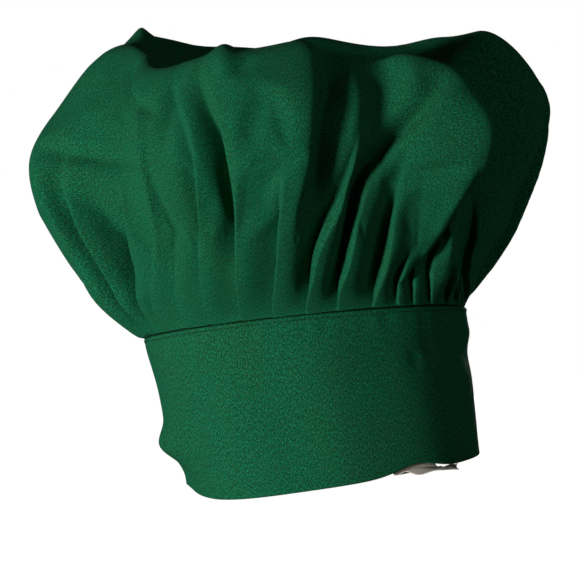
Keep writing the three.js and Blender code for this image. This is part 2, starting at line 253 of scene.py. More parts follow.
# Hollows without a folded edge, or ridges where the depth is below zero: depth, reach on the side of the
# smaller and of the larger angle, the shares between which they lie, and their line.
HOLLOWS = (
    (13, 3.0, 18, 0.03, 0.30, ((0, 303), (0.05, 305), (0.07, 308.5), (0.12, 314), (0.2, 317), (0.3, 319))),
    (-10, 22, 8, 0.12, 0.72, ((0.1, 267), (0.3, 275), (0.49, 281), (0.7, 285))),
    (7, 13, 4, 0.12, 0.52, ((0.12, 250), (0.23, 253.5), (0.33, 254), (0.5, 251))),
    (13, 24, 2.5, 0.08, 0.64, ((0.07, 216), (0.2, 226.5), (0.27, 230), (0.42, 229), (0.5, 224), (0.58, 211))),
    (-4, 7, 7, 0.42, 0.72, ((0.42, 262), (0.55, 258), (0.7, 256))),
    (4, 7, 6, 0.3, 0.6, ((0.3, 238), (0.45, 241), (0.6, 247))),
    (-4, 9, 9, 0.38, 0.66, ((0.38, 306), (0.45, 309), (0.55, 311))),
    (7, 6, 5, 0.2, 0.56, ((0.2, 277.5), (0.31, 280.5), (0.38, 282), (0.47, 287))),
    (-8, 8, 11, 0.14, 0.66, (
        (0.14, 278.5), (0.24, 284), (0.31, 287), (0.38, 290.5), (0.45, 293.5), (0.58, 298),
    )),
    (11, 8, 5, 0.16, 0.54, (
        (0.18, 286.5), (0.29, 293.5), (0.33, 298.5), (0.4, 307), (0.45, 311.5), (0.5, 315),
    )),
    (12, 10, 8, 0.06, 0.36, ((0.1, 205.5), (0.2, 205), (0.34, 203))),
    (4, 30, 24, 0.04, 0.18, ((0, 358), (0.16, 358))),
    (-4, 20, 20, -0.05, 0.2, ((0, 194), (0.2, 194))),
)
# Creases that run round the crown: angle, share, reach around and up, rise for each step around, depth
DENTS = (
    (309, 0.285, 17, 5, 0.15, 4.0),
    (205, 0.37, 24, 6, -0.2, 5.0),
    (230, 0.47, 12, 5, -0.5, 3.0),
    (262, 0.49, 9, 7, 0.9, 3.5),
    (318, 0.16, 12, 4, 0.6, 3.0),
)
# The peak that the left lobe is drawn up to: angle, share, reach and height
PEAK = (163.0, 0.67, 32.0, 27.0)
SIDE_PLEATS = np.arange(348.0, 553.0, 10.7)
FOLD_SEED = 11
SEAM_STEP = 1.0
PLEAT_OVERHANG = 2.0


def side_pleats():
    """The pleats of the right side, the back and the left side."""
    draw = np.random.RandomState(FOLD_SEED)
    pleats = []
    for angle in SIDE_PLEATS:
        foot = angle + draw.uniform(-1.6, 1.6)
        drift = draw.uniform(-4, 4)
        long = draw.uniform() < 0.45
        end = draw.uniform(0.4, 0.62) if long else draw.uniform(0.16, 0.34)
        crest = draw.uniform(5, 8) if long else draw.uniform(3, 6)
        hollow = draw.uniform(6, 10) if long else draw.uniform(3, 6)
        line = ((0, foot), (0.4 * end, foot + 0.4 * drift), (end, foot + drift))
        pleats.append((crest, hollow, 0, end, line))
    return pleats


def pleat_shape(angle, share, radius):
    """How far the pleats lift each point outwards and how far they push it along the band, both in mm."""
    pleats = sorted((*FRONT_PLEATS, *side_pleats()), key=lambda p: p[4][0][1])
    edges, crests, hollows = [], [], []
    for crest, hollow, start, end, stops in pleats:
        shares, angles = zip(*stops)
        edges.append(curve_through(shares, angles, share))
        ending = 1 - smoothstep(share, 0.45 * end, end)
        at_seam = SEAM_STEP * smoothstep(share, -0.01, 0.01) * (1 - smoothstep(share, 0.02, 0.1))
        crests.append(crest * smoothstep(share, -0.01, 0.1) * ending + at_seam)
        hollows.append(hollow * smoothstep(share, start - 0.01, start + 0.1) * ending + 1.3 * at_seam)
    edges, crests, hollows = (np.array(v) for v in (edges, crests, hollows))
    edges = np.maximum.accumulate(edges, axis=0)
    first = edges[0]
    turn = np.mod(angle - first, 360) + first
    count = len(pleats)
    column = np.arange(len(angle))
    own = np.clip((edges <= turn).sum(axis=0) - 1, 0, count - 1)
    following = (own + 1) % count
    wrap = np.where(own + 1 >= count, 360.0, 0.0)
    from_edge = np.radians(np.maximum(turn - edges[own, column], 0)) * radius
    to_next = np.radians(np.maximum(edges[following, column] + wrap - turn, 0)) * radius
    pitch = np.maximum(from_edge + to_next, 1)
    fade = smoothstep(pitch, 2, 9)
    crest, next_crest = crests[own, column] * fade, crests[following, column] * fade
    hollow = hollows[following, column] * fade
    step = np.minimum(1.8 + 8 * np.clip(share, 0, 1), 0.35 * pitch)
    facet = crest * np.exp(-((from_edge / (0.55 * pitch)) ** 1.9))
    hollowed = facet - hollow * np.exp(-((np.maximum(to_next - step, 0) / (0.28 * pitch)) ** 1.6))
    rise = smoothstep(to_next, step, 0)
    lift = mix(hollowed, next_crest, rise)
    overhang = PLEAT_OVERHANG * smoothstep(crests, 0.3, 2.0) * (1 - smoothstep(share, 0.15, 0.4))
    beside = 0.16 * pitch
    pushed = np.where(
        to_next < step,
        overhang[following, column] * mix(-1, 1, np.clip(to_next / step, 0, 1)),
        overhang[following, column] * np.exp(-(((to_next - step) / beside) ** 2)),
    )
    drawn_back = overhang[own, column] * np.exp(-((from_edge / beside) ** 2))
    pushed = pushed - np.where(to_next < step, 0, drawn_back)
    return lift, pushed * fade


def hollow_depths(angle, share, radius):
    pressed = np.zeros(len(angle))
    for depth, reach_back, reach_on, low, high, stops in HOLLOWS:
        shares, angles = zip(*stops)
        away = np.radians((angle - curve_through(shares, angles, share) + 180) % 360 - 180) * radius
        reach = np.where(away < 0, reach_back, reach_on)
        begun = smoothstep(share, low, mix(low, high, 0.3))
        ended = smoothstep(share, mix(low, high, 0.6), high)
        pressed += depth * (begun * (1 - ended)) * np.exp(-np.abs(away / reach) ** 2)
    for centre, middle, along, tall, slope, depth in DENTS:
        around = np.radians((angle - centre + 180) % 360 - 180) * radius
        above = (share - middle) * ROUND / 2 - slope * around
        pressed += depth * np.exp(-((around / along) ** 2) - (above / tall) ** 2)
    return pressed


def soft_noise(points, wavelength, seed, waves=9):
    """Smooth noise of about unit size with the given wavelength."""
    draw = np.random.RandomState(seed)
    total = np.zeros(len(points))
    for _ in range(waves):
        way = draw.normal(size=3)
        way *= 2 * math.pi / wavelength * draw.uniform(0.7, 1.4) / np.linalg.norm(way)
        total += np.sin(points @ way + draw.uniform(0, 2 * math.pi))
    return total * math.sqrt(2 / waves)


# ---------------------------------------------------------------- meshes

def new_mesh(name, points, faces, smooth=True):
    """A mesh object from points in millimetres."""
    mesh = bpy.data.meshes.new(name)
    mesh.from_pydata((np.asarray(points, float) * MM).tolist(), [], [list(map(int, f)) for f in faces])
    mesh.validate()
    mesh.polygons.foreach_set("use_smooth", [smooth] * len(mesh.polygons))
    mesh.update()
    obj = bpy.data.objects.new(name, mesh)
    bpy.context.scene.collection.objects.link(obj)
    return obj


def set_uv(obj, coords):
    """Gives the mesh a UV map with the flat place of each vertex, in metres."""
    layer = obj.data.uv_layers.new(name="cloth")
    at = np.empty(len(obj.data.loops), int)
    obj.data.loops.foreach_get("vertex_index", at)
    layer.data.foreach_set("uv", (np.asarray(coords, float)[at] * MM).ravel())


def thicken(obj, thickness, levels=0):
    if levels:
        subdivision = obj.modifiers.new("smooth", "SUBSURF")
        subdivision.levels = subdivision.render_levels = levels
    solid = obj.modifiers.new("thickness", "SOLIDIFY")
    solid.thickness = thickness * MM
    solid.offset = 0
    solid.use_even_offset = False


def grid_faces(rows, columns, wrap=False):
    """Quads over a grid of points numbered row by row."""
    last = columns if wrap else columns - 1
    i, j = np.meshgrid(np.arange(rows - 1), np.arange(last), indexing="ij")
    k = (j + 1) % columns
    quads = np.stack([i * columns + j, i * columns + k, (i + 1) * columns + k, (i + 1) * columns + j], -1)
    return quads.reshape(-1, 4)


# ---------------------------------------------------------------- band and tab

BAND_TURN_IN = 10.0
PLY_OUT = 1.0
PLY_THICKNESS = 0.5
BAND_STEP = 0.6
TAB_PIECE_FROM = HINGE_ANGLE - 3.4
TOPSTITCH_INSET = 2.6
INTERLINING_LOW = 2.2
INTERLINING_BELOW_TOP = 13.5
INTERLINING_THICKNESS = 0.8
LABEL_ANGLE = 302.0 - 360
LABEL_HEM_LIFT = 5.0
LABEL_HEM_LIFT_ANGLE = 11.0
CORNER_ANGLE = 180.0
CORNER_HEM_LIFT = 9.0
CORNER_HEM_LIFT_ANGLE = 32.0
# Where the worn band stands off its plain oval: angle, height, reach around and up, how far
SWELLS = (
    (196, 4, 30, 20, -9.0),
    (200, 70, 22, 48, -3.2),
    (197, 38, 12, 13, 9.0),
    (217, 34, 7, 24, -3.2),
    (350, 45, 22, 60, -2.8),
    (349, 79, 12, 8, 2.0),
    (347, 64, 14, 9, -2.2),
    (306, 66, 3, 6, -0.9),
    (313, 72, 3, 8, -0.7),
)


def around_to(angle, centre):
    """Degrees from the centre to the angle, from -180 to 180."""
    return np.mod(np.asarray(angle, float) - centre + 180, 360) - 180


def band_swell(angle, height):
    """How far the band stands out of its plain oval, in soft waves and at the swells."""
    turn = np.radians(angle)
    spots = np.stack([TOP_HALF[0] * np.cos(turn), TOP_HALF[1] * np.sin(turn), 0.55 * height], -1)
    waves = 0.8 * soft_noise(spots.reshape(-1, 3), 75, 5).reshape(spots.shape[:-1])
    for centre, middle, reach, tall, size in SWELLS:
        waves += size * np.exp(-((around_to(angle, centre) / reach) ** 2) - ((height - middle) / tall) ** 2)
    closure = smoothstep(np.abs(around_to(angle, 82)), 44, 74)
    seam = 1 - 0.6 * smoothstep(height, 72, 100)
    return waves * closure * seam * smoothstep(height, -40, 12)


def hem_lift(angle):
    at_label = np.exp(-((around_to(angle, LABEL_ANGLE) / LABEL_HEM_LIFT_ANGLE) ** 2))
    at_corner = np.exp(-((around_to(angle, CORNER_ANGLE) / CORNER_HEM_LIFT_ANGLE) ** 2))
    return LABEL_HEM_LIFT * at_label + CORNER_HEM_LIFT * at_corner


def band_surface(angle, out, height):
    """A point of the band as it lies, out from the middle of its thickness."""
    angle, out, height = np.broadcast_arrays(*(np.asarray(v, float) for v in (angle, out, height)))
    lifted = height + hem_lift(angle) * (1 - smoothstep(height, 0, 45))
    return band_point(angle, out + band_swell(angle, height), lifted)


def band_facing(angle, height):
    """The outward direction of the band."""
    across = band_surface(angle, 1, height) - band_surface(angle, 0, height)
    return across / np.linalg.norm(across, axis=-1, keepdims=True)


def band_section(top):
    """The folded strip in section, from the turned-in edge inside the band over the hem to the other one."""
    inner = [(0.45 - PLY_OUT, top - BAND_TURN_IN), (0.45 - PLY_OUT, top - 0.8), (0.22 - PLY_OUT, top - 0.15)]
    inner += [(-PLY_OUT, top - 0.6)]
    inner += [(-PLY_OUT, h) for h in np.linspace(top - 3, 2, 28)]
    hem = [(-PLY_OUT * math.cos(t), 1.25 - 1.0 * math.sin(t)) for t in np.linspace(0.2, math.pi - 0.2, 9)]
    outer = [(PLY_OUT, h) for h in np.linspace(2, top - 9, 70)]
    outer += [(PLY_OUT, h) for h in np.linspace(top - 8.5, top - 0.6, 24)]
    edge = [(PLY_OUT - 0.22, top - 0.15), (PLY_OUT - 0.45, top - 0.8), (PLY_OUT - 0.45, top - BAND_TURN_IN)]
    return np.array(inner + hem + outer + edge)


def sewn_skin(angle, height, top):
    """The outer ply's groove at the topstitching, its rolled edge and the small puckers below the seam."""
    from_top = top - height
    groove = -0.4 * np.exp(-(((from_top - TOPSTITCH_INSET) / 0.7) ** 2))
    roll = 0.45 * np.exp(-(((from_top - 1.5) / 1.2) ** 2))
    along = np.radians(angle) * TOP_HALF[0]
    pucker = np.sin(along / 2.3 + 2.5 * np.sin(along / 31)) * np.sin(along / 13 + 1.3)
    drawn = 0.28 * pucker * smoothstep(from_top, 1, 5) * (1 - smoothstep(from_top, 7, 20))
    return groove + roll + drawn


def strip(name, from_angle, to_angle):
    """A length of the band's strip of cloth, folded at the hem, with its edges turned in at the top."""
    count = int((to_angle - from_angle) / BAND_STEP) + 1
    angle = np.linspace(from_angle, to_angle, count)
    section = np.stack([band_section(top) for top in band_top(angle)])
    out, height = section[..., 0], section[..., 1]
    wide = np.broadcast_to(angle[:, None], out.shape)
    skin = np.where(out > 0, sewn_skin(wide, height, band_top(wide)), 0)
    points = band_surface(wide, out + skin, height)
    faces = grid_faces(*out.shape)
    obj = new_mesh(name, points.reshape(-1, 3), faces)
    middle = section.shape[1] // 2
    run = np.concatenate([[0], np.cumsum(np.linalg.norm(np.diff(points[:, middle], axis=0), axis=1))])
    down = np.concatenate([[0], np.cumsum(np.linalg.norm(np.diff(section[0], axis=0), axis=1))])
    along, across = np.broadcast_arrays(run[:, None], down[None, :])
    set_uv(obj, np.stack([along.ravel(), across.ravel()], -1))
    thicken(obj, PLY_THICKNESS)
    return obj


def interlining_strip(name, from_angle, to_angle):
    """The stiff ply between the plies of cloth."""
    angle = np.linspace(from_angle, to_angle, int((to_angle - from_angle) / 2) + 1)
    rows = np.linspace(0, 1, 16)
    height = mix(INTERLINING_LOW, band_top(angle)[:, None] - INTERLINING_BELOW_TOP, rows[None, :])
    wide = np.broadcast_to(angle[:, None], height.shape)
    obj = new_mesh(name, band_surface(wide, 0, height).reshape(-1, 3), grid_faces(*height.shape))
    set_uv(obj, np.stack([(wide * 1.8).ravel(), height.ravel()], -1))
    thicken(obj, INTERLINING_THICKNESS)
    return obj


# ---------------------------------------------------------------- sewing

STITCH = 2.7
STITCH_STEP = 3.4
THREAD_RADIUS = 0.27


def evenly(points, step):
    """The path cut into equal steps: middle points, directions and shares of the path."""
    lengths = np.linalg.norm(np.diff(points, axis=0), axis=1)
    run = np.concatenate([[0], np.cumsum(lengths)])
    count = max(1, int(round(run[-1] / step)))
    middle = (np.arange(count) + 0.5) * run[-1] / count

    def at(place):
        return np.stack([np.interp(place, run, points[:, k]) for k in range(3)], -1)

    along = at(middle + 0.4 * step) - at(middle - 0.4 * step)
    along /= np.linalg.norm(along, axis=1, keepdims=True)
    return at(middle), along, middle, run


def stitches(name, points, facing, length=STITCH, step=STITCH_STEP, radius=THREAD_RADIUS, rise=0.12):
    """A row of stitches on a surface, along a path of points and of the way that the surface faces."""
    points, facing = np.asarray(points, float), np.asarray(facing, float)
    centres, along, middle, run = evenly(points, step)
    up = np.stack([np.interp(middle, run, facing[:, k]) for k in range(3)], -1)
    up -= along * (up * along).sum(1, keepdims=True)
    up /= np.linalg.norm(up, axis=1, keepdims=True)
    side = np.cross(along, up)
    rings, sides = 7, 7
    t = np.linspace(-1, 1, rings)
    thick = radius * np.sqrt(np.maximum(1 - t**4, 0.02))
    lift = rise - 0.3 * t**2
    turn = np.arange(sides) * 2 * math.pi / sides
    verts, faces = [], []
    ring_faces = grid_faces(rings, sides, wrap=True)
    for k in range(len(centres)):
        ring = (
            centres[k] + (t * length / 2)[:, None, None] * along[k] + lift[:, None, None] * up[k]
            + (thick[:, None] * np.cos(turn))[..., None] * side[k]
            + (thick[:, None] * np.sin(turn))[..., None] * up[k]
        )
        start = k * rings * sides
        verts.append(ring.reshape(-1, 3))
        faces.extend((ring_faces + start).tolist())
        faces.append([start + i for i in range(sides)][::-1])
        faces.append([start + (rings - 1) * sides + i for i in range(sides)])
    return new_mesh(name, np.concatenate(verts), faces)


def band_path(corners, step=1.0):
    """Points between corners given as (angle, height) on the band."""
    corners = np.asarray(corners, float)
    path = []
    for start, end in zip(corners[:-1], corners[1:]):
        size = max(abs(end[0] - start[0]) * 1.7, abs(end[1] - start[1]))
        parts = np.linspace(0, 1, max(2, int(size / step)), endpoint=False)
        path.append(start + (end - start) * parts[:, None])
    return np.concatenate([*path, corners[-1:]])


def band_stitches(name, corners, out, **sizes):
    path = band_path(corners)
    inward = -1 if out < 0 else 1
    points = band_surface(path[:, 0], out, path[:, 1])
    return stitches(name, points, inward * band_facing(path[:, 0], path[:, 1]), **sizes)


def hidden_thread(name, angles, height_below_top, out):
    """A running thread inside the band."""
    points = band_surface(angles, out, band_top(angles) - height_below_top)
    curve = bpy.data.curves.new(name, "CURVE")
    curve.dimensions = "3D"
    curve.bevel_depth = 0.25 * MM
    spline = curve.splines.new("POLY")
    spline.points.add(len(points) - 1)
    spline.points.foreach_set("co", np.concatenate([points * MM, np.ones((len(points), 1))], 1).ravel())
    shape = bpy.data.objects.new(name, curve)
    bpy.context.scene.collection.objects.link(shape)
    mesh = bpy.data.meshes.new_from_object(shape.evaluated_get(bpy.context.evaluated_depsgraph_get()))
    bpy.data.objects.remove(shape)
    obj = bpy.data.objects.new(name, mesh)
    bpy.context.scene.collection.objects.link(obj)
    return obj


# ---------------------------------------------------------------- labels

LABEL_SEAM_HEIGHT = 42.0
LABEL_OUT = -1.75
LABEL_THICKNESS = 0.25
LABEL_SKEW = 0.55  # how much shorter the loose end is on its right side
CARE_LABEL_HALF_ANGLE = 9.5
SIZE_LABEL_HALF_ANGLE = 4.8
CARE_LABEL_STOPS = (
    (LABEL_OUT, 42), (LABEL_OUT, 12), (LABEL_OUT - 1.5, 5), (LABEL_OUT - 0.8, 1.8),
    (-1, 0.9), (3, 0.8), (20, 0.8), (48, 0.8),
)
SIZE_LABEL_STOPS = ((LABEL_OUT - 0.5, 42), (LABEL_OUT - 0.5, 32), (LABEL_OUT - 0.6, 22))


def ribbon(name, half_angle, stops, rows, columns):
    """A ribbon down the inside of the band and straight on where its stops lead out under the hem."""
    stops = np.array(stops, float)
    run = np.concatenate([[0], np.cumsum(np.linalg.norm(np.diff(stops, axis=0), axis=1))])
    place = np.linspace(0, run[-1], rows)
    line = np.stack([np.interp(place, run, stops[:, k]) for k in range(2)], -1)
    across = np.linspace(-1, 1, columns)
    out, side = np.meshgrid(line[:, 0], across, indexing="ij")
    height = np.meshgrid(line[:, 1], across, indexing="ij")[0]
    down = np.meshgrid(place, across, indexing="ij")[0]
    ahead = band_point(LABEL_ANGLE, 1, 0) - band_point(LABEL_ANGLE, 0, 0)
    angle = LABEL_ANGLE + side * half_angle
    inner = np.minimum(out, 0)
    points = band_point(angle, inner + band_swell(angle, height), height)
    loose = smoothstep(out, 0, 14)
    forward = np.maximum(out, 0) * (1 - LABEL_SKEW * smoothstep(side, -0.5, 1.0))
    points += forward[..., None] * ahead
    spots = np.stack([side * 16, out * 0.8, 0 * side], -1).reshape(-1, 3)
    crumple = soft_noise(spots, 26, 8).reshape(side.shape)
    points[..., 2] += loose * (1.4 + 0.8 * crumple + 0.5 * np.sin(3 * side + out / 12))
    points[..., 2] = np.maximum(points[..., 2], 0.35)
    obj = new_mesh(name, points.reshape(-1, 3), grid_faces(rows, columns))
    set_uv(obj, np.stack([side.ravel() * half_angle * 1.6, down.ravel()], -1))
    thicken(obj, LABEL_THICKNESS)
    return obj


# ---------------------------------------------------------------- crown

DISC_CELLS = 240
VENT_LENGTH = 45.0
VENT_GAP = 1.2


def disc_cloth():
    """A round of cloth in quads, slit at the vent: its flat points, faces, and sides of the slit."""
    line = np.linspace(-1, 1, DISC_CELLS + 1)
    x, y = (v.ravel() for v in np.meshgrid(line, line, indexing="xy"))
    flat = np.stack([x * np.sqrt(1 - y * y / 2), y * np.sqrt(1 - x * x / 2)], -1) * ROUND / 2
    faces = grid_faces(DISC_CELLS + 1, DISC_CELLS + 1)
    # the middle line of the grid, on its far side, is the slit
    slit = (np.abs(x) < 1e-9) & (flat[:, 1] > ROUND / 2 - CROWN_TUCK - VENT_LENGTH)
    side = np.zeros(len(flat))
    side[slit] = 1
    copies = np.flatnonzero(slit)
    number = np.arange(len(flat))
    number[copies] = len(flat) + np.arange(len(copies))
    flat = np.concatenate([flat, flat[copies]])
    side = np.concatenate([side, -np.ones(len(copies))])
    left = flat[faces].mean(axis=1)[:, 0] < 0
    faces[left] = number[faces[left]]
    turn = math.radians(HINGE_ANGLE - 90)
    turned = flat @ np.array([[math.cos(turn), math.sin(turn)], [-math.sin(turn), math.cos(turn)]])
    return turned, faces, side


def crown_points(flat, side):
    """The design of the crown: its lobes with pleats and hollows, its edge tucked into the band."""
    from_edge = ROUND / 2 - np.hypot(flat[:, 0], flat[:, 1])
    angle = np.degrees(np.arctan2(flat[:, 1], flat[:, 0]))
    share = (from_edge - CROWN_TUCK) / (ROUND / 2 - CROWN_TUCK)
    plain = CROWN.point(angle, share)
    radius = np.hypot(plain[:, 0], plain[:, 1])
    lift, pushed = pleat_shape(angle, share, radius)
    lift = lift - hollow_depths(angle, share, radius)
    lift += 2.0 * soft_noise(plain, 70, 3) * smoothstep(share, 0.08, 0.35)
    turned = angle + np.degrees(pushed / np.maximum(radius, 30))
    points = CROWN.point(turned, share) + CROWN.normal(turned, share) * lift[:, None]
    peak = CROWN.point(np.array(PEAK[0]), np.array(PEAK[1]))
    points[:, 2] += PEAK[3] * np.exp(-np.linalg.norm(plain - peak, axis=1) / PEAK[2])
    tucked = from_edge < CROWN_TUCK
    height = band_top(angle) + CROWN_RISE - (CROWN_TUCK - from_edge)
    points = np.where(tucked[:, None], band_point(angle, 0, height, lap=0.0), points)
    swell = band_swell(angle, np.minimum(height, band_top(angle))) * (1 - smoothstep(share, 0, 0.12))
    points += swell[:, None] * CROWN.normal(angle, np.zeros(len(angle)))
    lapped = band_point(angle, 0, height) - band_point(angle, 0, height, lap=0.0)
    below = (angle <= HINGE_ANGLE) & (angle > HINGE_ANGLE - LAP_RAMP) & (side >= 0)
    steps_out = 1 - smoothstep(from_edge, CROWN_TUCK, CROWN_TUCK + VENT_LENGTH)
    points += np.where(below, steps_out, 0)[:, None] * lapped
    slit = side != 0
    across = np.array([-math.sin(math.radians(HINGE_ANGLE)), math.cos(math.radians(HINGE_ANGLE)), 0])
    gap = VENT_GAP / 2 * (1 - from_edge[slit] / (CROWN_TUCK + VENT_LENGTH))
    points[slit] += (side[slit] * -gap)[:, None] * across
    return points


# The cloth has this much more length than the design, takes this many frames to settle, and is held to
# the design by a pull that is full at the band and weak this far above it; it moves this far at most.
SLACK = 0.03
SETTLE_FRAMES = 12
HELD_BELOW, FREE_ABOVE, FREE_HOLD = 10.0, 70.0, 0.015
SETTLE_REACH = 7.0


def settle(obj, points, flat):
    """Lets the crown's cloth settle by simulation, so that its slack goes into creases between the folds."""
    from_seam = ROUND / 2 - np.hypot(flat[:, 0], flat[:, 1]) - CROWN_TUCK
    hold = mix(1.0, FREE_HOLD, smoothstep(from_seam, HELD_BELOW, FREE_ABOVE))
    group = obj.vertex_groups.new(name="hold")
    for index, weight in enumerate(hold):
        group.add([index], float(weight), "REPLACE")
    cloth = obj.modifiers.new("cloth", "CLOTH")
    cloth.settings.quality = 5
    cloth.settings.mass = 0.3
    cloth.settings.tension_stiffness = 15
    cloth.settings.compression_stiffness = 15
    cloth.settings.shear_stiffness = 5
    cloth.settings.bending_stiffness = 2
    cloth.settings.air_damping = 1
    cloth.settings.shrink_min = -SLACK
    cloth.settings.vertex_group_mass = "hold"
    cloth.settings.pin_stiffness = 1.0
    cloth.settings.effector_weights.gravity = 0
    cloth.point_cache.frame_start = 1
    cloth.point_cache.frame_end = SETTLE_FRAMES
    scene = bpy.context.scene
    for frame_number in range(1, SETTLE_FRAMES + 1):
        scene.frame_set(frame_number)
    settled = obj.evaluated_get(bpy.context.evaluated_depsgraph_get()).data
    now = np.empty(len(settled.vertices) * 3)
    settled.vertices.foreach_get("co", now)
    moved = now.reshape(-1, 3) / MM - points
    scene.frame_set(1)
    obj.modifiers.remove(cloth)
    obj.vertex_groups.remove(group)
    far = np.linalg.norm(moved, axis=1, keepdims=True)
    moved *= SETTLE_REACH * np.tanh(far / SETTLE_REACH) / np.maximum(far, 1e-6)
    obj.data.vertices.foreach_set("co", ((points + moved) * MM).ravel())
    obj.data.update()


def make_crown():
    flat, faces, side = disc_cloth()
    points = crown_points(flat, side)
    obj = new_mesh("crown_cloth", points, faces)
    set_uv(obj, flat)
    settle(obj, points, flat)
    thicken(obj, PLY_THICKNESS, levels=1)
    return obj


# ---------------------------------------------------------------- sewing at the vent

VENT_SEAM_AWAY = 4.0
VENT_SEAM_ABOVE = 5.0
BARTACK_HALF_WIDTH = 2.4
BARTACK_LEGS = 11
BARTACK_RISE = 0.3


def on_cloth(obj, points):
    """The points moved onto the cloth's outer face, and the way that it faces there."""
    tree = BVHTree.FromObject(obj, bpy.context.evaluated_depsgraph_get())
    found = [tree.find_nearest(Vector(point * MM)) for point in points]
    faces = np.array([normal for _, normal, _, _ in found])
    outward = np.sign((faces * (points - POLE)).sum(axis=1, keepdims=True))
    return np.array([place for place, _, _, _ in found]) / MM, faces * outward


def above_vent(away, above_seam):
    """Points on the crown by their distances from the vent's line and from the band's seam."""
    turn = math.radians(HINGE_ANGLE)
    middle, across = np.array([math.cos(turn), math.sin(turn)]), np.array([-math.sin(turn), math.cos(turn)])
    from_middle = ROUND / 2 - CROWN_TUCK - np.asarray(above_seam, float)
    flat = from_middle[:, None] * middle + np.asarray(away, float)[:, None] * across
    return crown_points(flat, np.zeros(len(flat)))


def vent_seam(crown_cloth):
    """Stitches up one edge of the vent, over its top and down the other edge."""
    up = np.linspace(3, VENT_LENGTH + VENT_SEAM_ABOVE, 40)
    over = np.linspace(-VENT_SEAM_AWAY, VENT_SEAM_AWAY, 7)
    away = np.concatenate([np.full(40, -VENT_SEAM_AWAY), over[1:-1], np.full(40, VENT_SEAM_AWAY)])
    above = np.concatenate([up, np.full(5, VENT_LENGTH + VENT_SEAM_ABOVE), up[::-1]])
    return stitches("vent_stitches", *on_cloth(crown_cloth, above_vent(away, above)))


def bartack(crown_cloth):
    """Close stitches to and fro across the top of the vent."""
    turns = np.arange(BARTACK_LEGS + 1)
    away = BARTACK_HALF_WIDTH * np.where(turns % 2, 1, -1)
    path = above_vent(away, VENT_LENGTH - 0.5 + BARTACK_RISE * turns)
    leg = math.hypot(2 * BARTACK_HALF_WIDTH, BARTACK_RISE)
    points, facing = on_cloth(crown_cloth, path)
    return stitches("bartack_stitches", points, facing, length=leg, step=leg, radius=0.3, rise=0.2)


# ---------------------------------------------------------------- hook and loop tapes

TAPE_LOW, TAPE_HIGH = 30.0, 70.0
TAPE_INSET_ANGLE = 5.0
TAPE_STITCH_OUTSET = (0.8, 1.2)
PILE_STEP = 0.6
PILE_HEIGHT = 0.4
TAPE_BASE = 0.5
HOOK_STEP = 1.5
HOOK_RADIUS = 0.22
HOOK_HEIGHT = 0.55
HOOK_RINGS = ((0, 0, 1), (0.8, 0.1, 0.8), (1, 1.4, 0.9))  # share of the height, droop and width of each


def tape_grid(angles, step):
    """Angles and heights over a tape's face, at about this step."""
    around = np.linspace(*angles, int((angles[1] - angles[0]) * 1.6 / step))
    up = np.linspace(TAPE_LOW, TAPE_HIGH, int((TAPE_HIGH - TAPE_LOW) / step))
    return np.meshgrid(around, up, indexing="ij")


def loop_tape(name, angles, out):
    """The soft half: a strip whose face is a pile of small uneven loops."""
    angle, height = tape_grid(angles, PILE_STEP)
    pile = PILE_HEIGHT * np.random.RandomState(FOLD_SEED).uniform(0, 1, angle.shape)
    pile[[0, -1]] = 0
    pile[:, [0, -1]] = 0
    obj = new_mesh(name, band_surface(angle, out + pile, height).reshape(-1, 3), grid_faces(*angle.shape))
    thicken(obj, TAPE_BASE)
    return obj


def hook_tape(name, angles, out):
    """The stiff half: a strip with rows of short bent hooks that stand inwards from it."""
    angle, height = tape_grid(angles, HOOK_STEP)
    base = band_surface(angle, out, height).reshape(-1, 3)
    inward = -band_facing(angle, height).reshape(-1, 3)
    side = np.cross(inward, (0, 0, 1))
    low = np.array([0, 0, -1])
    faces = grid_faces(*angle.shape).tolist()
    points = [base]
    corners = ((-1, -1), (1, -1), (1, 1), (-1, 1))
    for level, droop, size in HOOK_RINGS:
        for a, b in corners:
            reach = HOOK_RADIUS * size
            corner = side * a * reach + low * (b + 2 * droop) * reach
            points.append(base + inward * HOOK_HEIGHT * level + corner)
    count = len(base)
    for ring in (1, 5):
        for k in range(4):
            quad = (ring + k, ring + (k + 1) % 4, ring + 4 + (k + 1) % 4, ring + 4 + k)
            faces.extend([[q * count + i for q in quad] for i in range(count)])
    faces.extend([[(9 + k) * count + i for k in range(4)] for i in range(count)])
    obj = new_mesh(name, np.concatenate(points), faces, smooth=False)
    return obj


def tape_corners(angles):
    """The corners of the sewing round a tape."""
    around, up = TAPE_STITCH_OUTSET
    start, end = angles[0] - around, angles[1] + around
    low, high = TAPE_LOW - up, TAPE_HIGH + up
    return [(start, low), (end, low), (end, high), (start, high), (start, low)]


# ---------------------------------------------------------------- materials

def material(name, colour, roughness=0.8, sheen=0.0, sheen_tint=None, specular=0.2):
    mat = bpy.data.materials.new(name)
    mat.use_nodes = True
    shader = mat.node_tree.nodes["Principled BSDF"]
    shader.inputs["Base Color"].default_value = (*colour, 1)
    shader.inputs["Roughness"].default_value = roughness
    shader.inputs["Specular IOR Level"].default_value = specular
    shader.inputs["Sheen Weight"].default_value = sheen
    shader.inputs["Sheen Roughness"].default_value = 0.45
    shader.inputs["Sheen Tint"].default_value = (*(sheen_tint or colour), 1)
    return mat, mat.node_tree, shader


